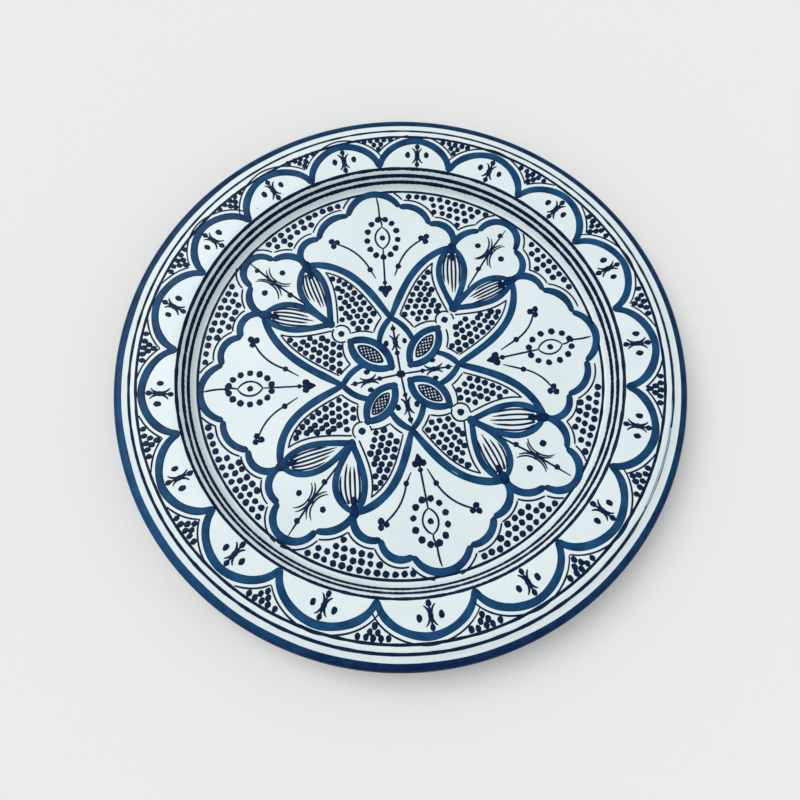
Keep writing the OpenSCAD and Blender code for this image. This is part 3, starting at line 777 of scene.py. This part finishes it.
def rim_spandrels():
    lines = Painting()
    dots = Painting()
    gap = SCALLOP_W / 2 + WHITE_GAP + THIN_W / 2
    inner = OUTER_LINE_R - OUTER_LINE_W / 2

    for i in range(SCALLOPS):
        paths = [scallop_paths[i - 1], scallop_paths[i]]
        for path in paths:
            limit = inner + draw.choice((0.0, 0.4, 1.6, 2.6))

            def clear(p):
                if not SCALLOP_FOOT_R + 4 < p.length < limit or any(inside(p, other) for other in paths):
                    return False
                return min(off_path(p, other) for other in paths) > gap - 0.25

            for run in runs_at(path, gap, 1, clear):
                if abs(bearing(Vector((0, 0)), run[len(run) // 2]) % 360 - foot_angle(i) % 360) < 14:
                    lines.stroke(run, THIN_W, ends=(0.8, 0.7))
        for row in range(4):
            r = inner - 1.7 - row * 3.3
            step = math.degrees(4.4 / r)
            for k in range(-4, 5):
                turn = foot_angle(i) + (k + (row % 2) / 2) * step
                p = polar(r, turn)
                if any(inside(p, path) for path in paths):
                    continue
                if min(off_path(p, path) for path in paths) > gap + 1.4:
                    jitter = spot(draw.uniform(-0.3, 0.3), draw.uniform(-0.3, 0.3))
                    dots.dot(p + jitter, 1.02 * DOT_D, squash=0.8, heading=turn)
    lines.finish("spandrel_lines", ["rim_spandrel_outlines"], "navy_paint", NAVY)
    dots.finish("spandrel_dots", ["rim_spandrel_dots"], "navy_paint", NAVY)


rim_scallops()
rim_sprays()
rim_spandrels()

# ---- Layout of the floor ----------------------------------------------------------------------
# Cardinals are right, top, left, bottom; quadrants and the nodes between them run anticlockwise.

NODES = spots((74, 62.5), (35.5, 87), (-61.5, 74.5), (-88.5, 40), (-74, -60), (-28.5, -89),
              (63.5, -69.5), (90, -30.5))
JUNCTIONS = spots((37.5, 5), (-5.8, 37), (-36.5, -8.5), (7, -37.5))
LEAF_TIPS = spots((35.5, 43.5), (-45, 33), (-30.5, -46), (44.5, -32))
DISCS = spots((29.3, 35.4), (-37.9, 26.3), (-24.2, -38.3), (37.9, -26.7))
EYE_INNER = spots((7, 5), (-5.5, 3.5), (-4, -9), (6.5, -5.5))
EYE_OUTER = spots((24.5, 29.5), (-32, 21), (-20.5, -32), (31, -22))
OGIVE_ENDS = [spots((22.4, 13.2), (24.8, -8.2)), spots((-13.4, 18.8), (8.5, 21.3)),
              spots((-19.4, -17.7), (-23.2, 5.1)), spots((14.6, -20.4), (-6.2, -25.6))]
CENTRE = spot(0.4, -1.3)
DISC_R = 5.3
LEAF_LEAN = 0.75
BLADE_LEAN = 0.78

LARGE_CUSPS = [spots((106.5, -15.6), (119.4, 6.4), (112.8, 39.8), (94.4, 55.3)),
               spots((20.5, 104.2), (0.5, 117.5), (-34.2, 110.9), (-53.7, 93.7)),
               spots((-102.5, 24.5), (-113.7, 6), (-111.4, -30.5), (-94.8, -49.4)),
               spots((-12.6, -105), (6.7, -115), (41.1, -108.9), (55.6, -92.2))]
LARGE_BULGES = [(0.32, 0.22, 0.32, 0.2, 0.3), (0.33, 0.22, 0.37, 0.22, 0.4),
                (0.36, 0.3, 0.4, 0.22, 0.34), (0.32, 0.3, 0.36, 0.22, 0.27)]
SMALL_CUSPS = [spots((77.2, 84.2), (54.4, 98.7)), spots((-84.2, 78.7), (-97.6, 60.3)),
               spots((-75, -82.5), (-52, -99.4)), spots((87.8, -73.9), (102.8, -50.6))]
SMALL_BULGES = [(0.31, 0.53, 0.17), (0.22, 0.57, 0.23), (0.31, 0.53, 0.18), (0.25, 0.54, 0.24)]
LEAF_BULGES = [(0.19, 0.16), (0.21, 0.18), (0.23, 0.14), (0.17, 0.22), (0.22, 0.15), (0.16, 0.26),
               (0.26, 0.17), (0.2, 0.24)]
BLADE_BULGES = [0.175, 0.135, 0.155, 0.12, 0.188, 0.16, 0.16, 0.138]


def quadrant(j):
    return j // 2


def cardinal(j):
    return (j + 1) // 2 % 4


def hand(j):
    return -1 if j % 2 == 0 else 1


def ogive_end(j):
    return OGIVE_ENDS[cardinal(j)][j % 2]


def blade_path(j):
    return bow(NODES[j], JUNCTIONS[cardinal(j)], hand(j) * BLADE_BULGES[j], BLADE_LEAN, 20)


def leaf_side(j, side):
    return bow(NODES[j], LEAF_TIPS[quadrant(j)], (1 - 2 * side) * LEAF_BULGES[j][side], LEAF_LEAN)


def ogive_path(j):
    return arc(JUNCTIONS[cardinal(j)], ogive_end(j), hand(j) * -0.1, 8)


def lobed(points, bulges):
    return [arc(p, q, bulge) for p, q, bulge in zip(points, points[1:], bulges)]


def large_lobes(i):
    return lobed([NODES[(2 * i + 7) % 8]] + LARGE_CUSPS[i] + [NODES[2 * i]], LARGE_BULGES[i])


def small_lobes(i):
    return lobed([NODES[2 * i]] + SMALL_CUSPS[i] + [NODES[2 * i + 1]], SMALL_BULGES[i])


def plump(t):
    """The width of a short, full dab along its length, as a share of its greatest width."""
    return 0.2 + 0.8 * math.sqrt(max(0.0, math.sin(math.pi * clamp(t))))


def floor_strokes():
    blades = Painting()
    for j in range(8):
        blades.stroke(blade_path(j), THICK_W, ends=(0.85, 0.75), across=6)
    blades.stroke(line(spot(30.8, -63.6), spot(35.4, -66.4)), 1.7, shade=-1.15)
    blades.finish("blade_washes", ["blade_strokes"], "cobalt_paint", COBALT)

    large = Painting()
    small = Painting()
    for i in range(4):
        for painting, lobes in ((large, large_lobes(i)), (small, small_lobes(i))):
            for path in lobes:
                painting.stroke(path, THICK_W, ends=(0.8, 0.85), across=6)
    large.finish("large_cartouche_washes", ["large_cartouches"], "cobalt_paint", COBALT)
    small.finish("small_cartouche_washes", ["small_cartouches"], "cobalt_paint", COBALT)

    leaves = Painting()
    for j in range(8):
        for side in (0, 1):
            leaves.stroke(leaf_side(j, side), LEAF_W, ends=(0.8, 1.0), across=6)
    for tip in LEAF_TIPS:
        leaves.dot(tip, 1.5 * LEAF_W, shade=0.3)
    leaves.finish("leaf_washes", ["leaf_outlines"], "cobalt_paint", COBALT)

    eyes = Painting()
    for inner, outer in zip(EYE_INNER, EYE_OUTER):
        for side in (-1, 1):
            eyes.stroke(arc(inner, outer, 0.25 * side), THICK_W, ends=(0.95, 0.9), across=6)
        eyes.dot(inner, THICK_W)
        eyes.dot(outer, THICK_W, shade=0.3)
    eyes.finish("eye_washes", ["eye_petals"], "cobalt_paint", COBALT)

    ogives = Painting()
    for j in range(8):
        ogives.stroke(ogive_path(j), 0.85 * THICK_W, ends=(0.9, 0.85), across=6)
    ogives.finish("ogive_washes", ["centre_ogives"], "cobalt_paint", COBALT)

    blots = Painting()
    for j, node in enumerate(NODES):
        away = (LEAF_TIPS[quadrant(j)] - node).normalized()
        blots.stroke(line(node - away * 3.6, node + away * 5.4, 8), 1.35 * THICK_W, spread=plump,
                     shade=0.35, crown=0.22)
    blots.finish("node_dabs", ["node_blots"], "cobalt_paint", COBALT)


floor_strokes()


# ---- Leaves, eyes and centre ------------------------------------------------------------------

def leaf_veins():
    """Five veins fan out of a dark blot at the leaf's root and stop short of its tip."""
    painting = Painting()
    veins = 5
    for j in range(8):
        tip = LEAF_TIPS[quadrant(j)]
        away = (tip - NODES[j]).normalized()
        root = NODES[j] + away * 4.0
        painting.stroke(line(root, root + away * 6.0, 8), 4.2, spread=plump, crown=0.2)
        right, left = (bulge - 0.07 for bulge in LEAF_BULGES[j])
        for k in range(veins):
            share = k / (veins - 1)
            bulge = right * (1 - share) - left * share
            path = bow(NODES[j], tip, bulge, LEAF_LEAN, 24)
            last = round(24 * (0.74 - 0.8 * abs(bulge)) + draw.uniform(-2.0, 2.0))
            painting.stroke(path[3:last + 1], 1.15 * THIN_W, ends=(1.3, 0.35))
    painting.finish("leaf_vein_lines", ["leaf_veins"], "navy_paint", NAVY)


def eye_nets():
    painting = Painting()
    for inner, outer in zip(EYE_INNER, EYE_OUTER):
        near = inner.lerp(outer, 0.2)
        far = inner.lerp(outer, 0.82)
        rims = [arc(near, far, 0.2 * side) for side in (-1, 1)]
        loop = rims[0] + rims[1][::-1]
        for rim in rims:
            painting.stroke(rim, 1.2 * NET_W, ends=(0.9, 0.9))
        middle = near.lerp(far, 0.5)
        heading = bearing(near, far)
        for side in (-1, 1):
            for k in range(-4, 5):
                start = middle + turned(spot(k * 2.9, 0), heading)
                along = turned(spot(1, 0), heading + 42 * side)
                kept = [p for p in (start + along * (0.25 * m) for m in range(-32, 33)) if inside(p, loop)]
                if len(kept) > 3:
                    painting.stroke([kept[0], kept[len(kept) // 2], kept[-1]], NET_W, ends=(0.9, 0.9),
                                    across=2)
    painting.finish("eye_net_lines", ["eye_nets"], "navy_paint", NAVY)


SPRAY_ENDS = spots((30.8, 3.2), (-4.3, 29.6), (-28.8, -7.5), (6.3, -31.3))


def centre_sprays():
    painting = Painting()
    painting.dot(CENTRE, 1.4 * DOT_D)
    for end in SPRAY_ENDS:
        out = end - CENTRE
        painting.stroke(line(CENTRE, CENTRE + out * 1.1), 1.15 * THIN_W, ends=(0.9, 0.7))
        painting.dot(CENTRE + out * 0.46, 0.78 * DOT_D)
        painting.dot(end, 0.85 * DOT_D)
        heading = bearing(CENTRE, end)
        knot = CENTRE + out * 0.7
        spray(painting, knot, heading, 6.5, 5.5, 3.4)
        for side in (-1, 1):
            berry = knot + turned(spot(0, side * 6.0), heading)
            painting.dot(berry, 0.95 * DOT_D, squash=0.8, heading=heading)
    painting.finish("centre_spray_lines", ["centre_sprays"], "navy_paint", NAVY)


leaf_veins()
eye_nets()
centre_sprays()


# ---- Dotted fields beside the blades ----------------------------------------------------------

def blade_fields():
    lines = Painting()
    dots = Painting()
    for j in range(8):
        blade = blade_path(j)
        ogive = ogive_path(j)
        eye = arc(ogive_end(j), EYE_OUTER[quadrant(j)], hand(j) * -0.18, 10)
        leaf = leaf_side(j, (1 - hand(j)) // 2)[::-1]
        loop = joined(blade, ogive, eye, leaf)
        disc = DISCS[quadrant(j)]
        edges = [blade, ogive, eye, leaf]
        gap = FIELD_GAP + THIN_W / 2

        def clear(p):
            if not inside(p, loop) or (p - disc).length < DISC_R or (p - NODES[j]).length < 9:
                return False
            return min(off_path(p, path) for path in edges) > gap - 0.35

        for path in edges:
            for run in runs_at(path, gap, -hand(j), clear):
                lines.stroke(run, 1.05 * THIN_W, ends=(0.9, 0.85))
        round_disc = [disc + polar(DISC_R + THIN_W / 2, a) for a in range(0, 361, 12)]
        run = []
        for p in round_disc + round_disc:
            if inside(p, loop) and min(off_path(p, path) for path in edges) > THICK_W / 2:
                run.append(p)
            elif len(run) > 3:
                break
            else:
                run = []
        if len(run) > 3:
            lines.stroke(run, 1.05 * THIN_W, ends=(0.9, 0.9))
        dot_rows(dots, blade, hand(j), loop, edges, disc)
    lines.finish("blade_field_lines", ["blade_field_outlines"], "navy_paint", NAVY)
    dots.finish("blade_field_dabs", ["blade_field_dots"], "navy_paint", NAVY)


def dot_rows(dots, blade, side, loop, edges, disc):
    """Rows of dots that follow the blade, staggered, as far as the field's own outline."""
    walk = Walk(blade)
    clearance = FIELD_GAP + THIN_W + 0.28 * DOT_D
    for row in range(9):
        gap = FIELD_GAP + THIN_W + 0.5 * DOT_D + row * 0.9 * PITCH
        s = (row % 2) * PITCH / 2
        while s < walk.length:
            p = walk.at(s) - right_of(walk.heading(s)) * gap * side
            s += PITCH
            jitter = spot(draw.uniform(-0.3, 0.3), draw.uniform(-0.3, 0.3))
            if not inside(p, loop) or (p - disc).length < DISC_R + THIN_W + 0.3 * DOT_D:
                continue
            if min(off_path(p, path) for path in edges[1:]) < clearance:
                continue
            dots.dot(p + jitter, DOT_D * draw.uniform(0.94, 1.04))


def disc_dots():
    dots = Painting()
    for disc in DISCS:
        dots.dot(disc, 1.05 * DOT_D)
    dots.finish("disc_dabs", ["blade_disc_dots"], "navy_paint", NAVY)


blade_fields()
disc_dots()


# ---- Dotted spandrels between the cartouches and the floor ring -------------------------------

def floor_spandrels():
    lines = Painting()
    dots = Painting()
    lobes = [path for i in range(4) for path in large_lobes(i) + small_lobes(i)]
    loops = [joined(*large_lobes(i)) for i in range(4)] + [joined(*small_lobes(i)) for i in range(4)]
    gap = FIELD_GAP + THIN_W / 2
    limit = FLOOR_RING_R - FLOOR_RING_W / 2

    for path in lobes:
        reach = limit + draw.choice((0.0, 0.3, 0.5, 2.4))

        def clear(p):
            if not 95 < p.length < reach or min(off_path(p, loop) for loop in loops) < gap - 0.3:
                return False
            return not any(inside(p, loop) for loop in loops)

        for run in runs_at(path, gap, 1, clear):
            lines.stroke(run, 1.05 * THIN_W, ends=(0.9, 0.9))
    for row in range(5):
        r = limit - DOT_D / 2 - 0.5 - row * 0.95 * PITCH
        count = int(math.tau * r / (1.04 * PITCH))
        for k in range(count):
            p = polar(r, (k + (row % 2) / 2) * 360 / count)
            near = min(0 if inside(p, loop) else off_path(p, loop) for loop in loops)
            jitter = spot(draw.uniform(-0.4, 0.4), draw.uniform(-0.4, 0.4))
            if near > FIELD_GAP + THIN_W + 0.3 * DOT_D:
                dots.dot(p + jitter, DOT_D * draw.uniform(0.96, 1.06))
    lines.finish("floor_spandrel_lines", ["floor_spandrel_outlines"], "navy_paint", NAVY)
    dots.finish("floor_spandrel_dabs", ["floor_spandrel_dots"], "navy_paint", NAVY)


floor_spandrels()

# ---- Medallions, sprigs and sprays in the cartouches ------------------------------------------

ALMONDS = spots((97, 16), (-11, 94.5), (-95.5, -10), (17.5, -94.5))
STEM_ENDS = spots((124, 23), (-15.3, 125.5), (-125.5, -12), (24, -121.5))
ARROW_TIPS = spots((55.6, 7), (-8.9, 51.4), (-53.7, -8.3), (10, -52.8))
STEM_BEADS = spots((110.6, 20.9), (-13.1, 108.7), (-110.3, -10.2), (21.1, -108.3))
MEDALLION_COUNTS = (12, 13, 14, 12)
ALMOND_LONG = 8.0
RING_LONG = 14.0
RING_WIDE = 10.3


def medallions():
    lines = Painting()
    dots = Painting()
    for i in range(4):
        inward = (ARROW_TIPS[i] - ALMONDS[i]).normalized()
        near = ALMONDS[i] + inward * ALMOND_LONG
        far = ALMONDS[i] - inward * ALMOND_LONG
        for side in (-1, 1):
            lines.stroke(arc(near, far, 0.3 * side), 1.1 * THIN_W, ends=(0.8, 0.7))
        lines.stroke(arc(far, STEM_BEADS[i], 0.1), 1.1 * THIN_W, ends=(0.8, 0.9))
        lines.stroke(arc(STEM_BEADS[i], STEM_ENDS[i], 0.04), 1.1 * THIN_W, ends=(0.9, 0.5))
        lines.stroke(line(near, ARROW_TIPS[i] - inward * 5), 1.1 * THIN_W, ends=(0.8, 1.0))
        lines.dot(ALMONDS[i], 0.95 * DOT_D)
        lines.dot(ARROW_TIPS[i] - inward * 10.5, 0.75 * DOT_D)
        spade(lines, ARROW_TIPS[i], inward)
        heading = bearing(ARROW_TIPS[i], ALMONDS[i])
        for k in range(MEDALLION_COUNTS[i]):
            a = math.tau * (k + 0.5) / MEDALLION_COUNTS[i]
            ring = spot(RING_LONG * math.cos(a), RING_WIDE * math.sin(a))
            dots.dot(ALMONDS[i] + turned(ring, heading), 1.04 * DOT_D)
        dots.dot(STEM_BEADS[i], 0.9 * DOT_D)
    lines.finish("medallion_lines", ["almond_medallions"], "navy_paint", NAVY)
    dots.finish("medallion_dabs", ["medallion_dots"], "navy_paint", NAVY)


def spade(painting, tip, inward):
    """The arrow head at the inner end of a medallion's stem."""
    side = right_of(inward)
    painting.stroke(line(tip, tip - inward * 8.2, 8), 8.6, spread=lambda t: 0.08 + 0.92 * t ** 0.8, across=6)
    for s in (-1, 1):
        painting.dot(tip - inward * 6.3 + side * 2.4 * s, 4.6, shade=0.1)


# The trefoil, the bead on the stem and the end of the tail of two sprigs in each large cartouche
SPRIGS = [spots((97.2, -12.6), (78.9, 1.1), (65.8, 4.4)), spots((87.6, 40.3), (75.3, 21.2), (65, 14.2)),
          spots((17.2, 93.7), (-0.5, 73.7), (-3.1, 66.4)), spots((-43.4, 90.7), (-19.2, 71.4), (-15.3, 64.8)),
          spots((-94.8, 21.7), (-73.4, 2.9), (-64.8, -2)),
          spots((-89.2, -42.8), (-73.1, -21.7), (-64.8, -15.9)),
          spots((-11.4, -96.1), (3, -71.4), (6.1, -64.4)), spots((45.3, -87.2), (21.4, -71.4), (15.9, -62.2))]


def sprigs():
    painting = Painting()
    for s, (trefoil, bead, tail) in enumerate(SPRIGS):
        bend = 0.11 if s % 2 == 0 else -0.11
        painting.stroke(joined(arc(trefoil, bead, bend, 10), line(bead, tail)), 1.1 * THIN_W, ends=(0.8, 0.6))
        painting.dot(bead, 0.88 * DOT_D)
        for k in range(3):
            petal = turned(spot(2.2, 0), bearing(bead, trefoil) + 120 * k)
            painting.dot(trefoil + petal, 0.98 * DOT_D)
    painting.finish("sprig_lines", ["side_sprigs"], "navy_paint", NAVY)


SMALL_STEMS = [spots((45, 57.6), (60.6, 83.1), (72.2, 99.2)),
               spots((-61.4, 47), (-83.1, 62.6), (-100.3, 77.6)),
               spots((-39.2, -60), (-55.3, -81.7), (-69.2, -103.3)),
               spots((60.6, -42.2), (83.9, -55), (104.4, -67.8))]


def small_sprays():
    painting = Painting()
    for root, knot, end in SMALL_STEMS:
        heading = bearing(root, end)
        painting.stroke(joined(line(root, knot), line(knot, end)), 1.15 * THIN_W, ends=(0.8, 0.5))
        spray(painting, knot, heading, 6, 10, 4.6, 2, 1.0)
        for side in (-1, 1):
            painting.dot(knot + turned(spot(14.3 * side, 0), heading), 0.9 * DOT_D)
            painting.dot(knot + turned(spot(0, side * 9), heading), DOT_D)
    painting.finish("small_spray_lines", ["small_cartouche_sprays"], "navy_paint", NAVY)


medallions()
sprigs()
small_sprays()

# ---- Camera, light and floor ------------------------------------------------------------------


# The window's height over the table, its bearing from +X and its apparent width, in degrees
SUN_HEIGHT = 54
SUN_BEARING = 145
SUN_SPREAD = 42


def studio():
    floor_mesh = bpy.data.meshes.new("studio_floor")
    bm = bmesh.new()
    bmesh.ops.create_circle(bm, cap_ends=True, segments=64, radius=6.0)
    bm.to_mesh(floor_mesh)
    bm.free()
    floor = bpy.data.objects.new("studio_floor", floor_mesh)
    bpy.context.scene.collection.objects.link(floor)
    paper = Finish("pale_paper", Specular_IOR_Level=0.05, Roughness=0.95)
    tone = paper.mix(paper.noise(900, 2.0), (0.825, 0.825, 0.825), (0.835, 0.835, 0.835))
    floor_mesh.materials.append(paper.set(Base_Color=tone))

    world = bpy.data.worlds.new("soft_room")
    world.use_nodes = True
    world.node_tree.nodes["Background"].inputs["Color"].default_value = (0.985, 0.995, 1.0, 1)
    world.node_tree.nodes["Background"].inputs["Strength"].default_value = 0.69
    bpy.context.scene.world = world

    light = bpy.data.lights.new("window", "SUN")
    light.energy = 1.27
    light.angle = math.radians(SUN_SPREAD)
    light.color = (1.0, 0.995, 0.98)
    holder = bpy.data.objects.new("window", light)
    level = polar(math.cos(math.radians(SUN_HEIGHT)), SUN_BEARING)
    towards = Vector((level.x, level.y, math.sin(math.radians(SUN_HEIGHT))))
    holder.rotation_euler = (-towards).to_track_quat("-Z", "Y").to_euler()
    bpy.context.scene.collection.objects.link(holder)


def camera():
    eye = Vector((-0.28, -130.65, 443.45)) * MM
    right = Vector((0.99994, -0.01022, -0.00268))
    up = Vector((0.01057, 0.96732, 0.25335))
    back = right.cross(up)
    data = bpy.data.cameras.new("camera")
    data.lens = 31.5
    data.sensor_width = 36.0
    data.clip_start = 0.01
    holder = bpy.data.objects.new("camera", data)
    turn = Matrix((right, up, back)).transposed().to_4x4()
    holder.matrix_world = Matrix.Translation(eye) @ turn
    bpy.context.scene.collection.objects.link(holder)
    bpy.context.scene.camera = holder


studio()
camera()
bpy.context.scene.view_settings.view_transform = "Standard"
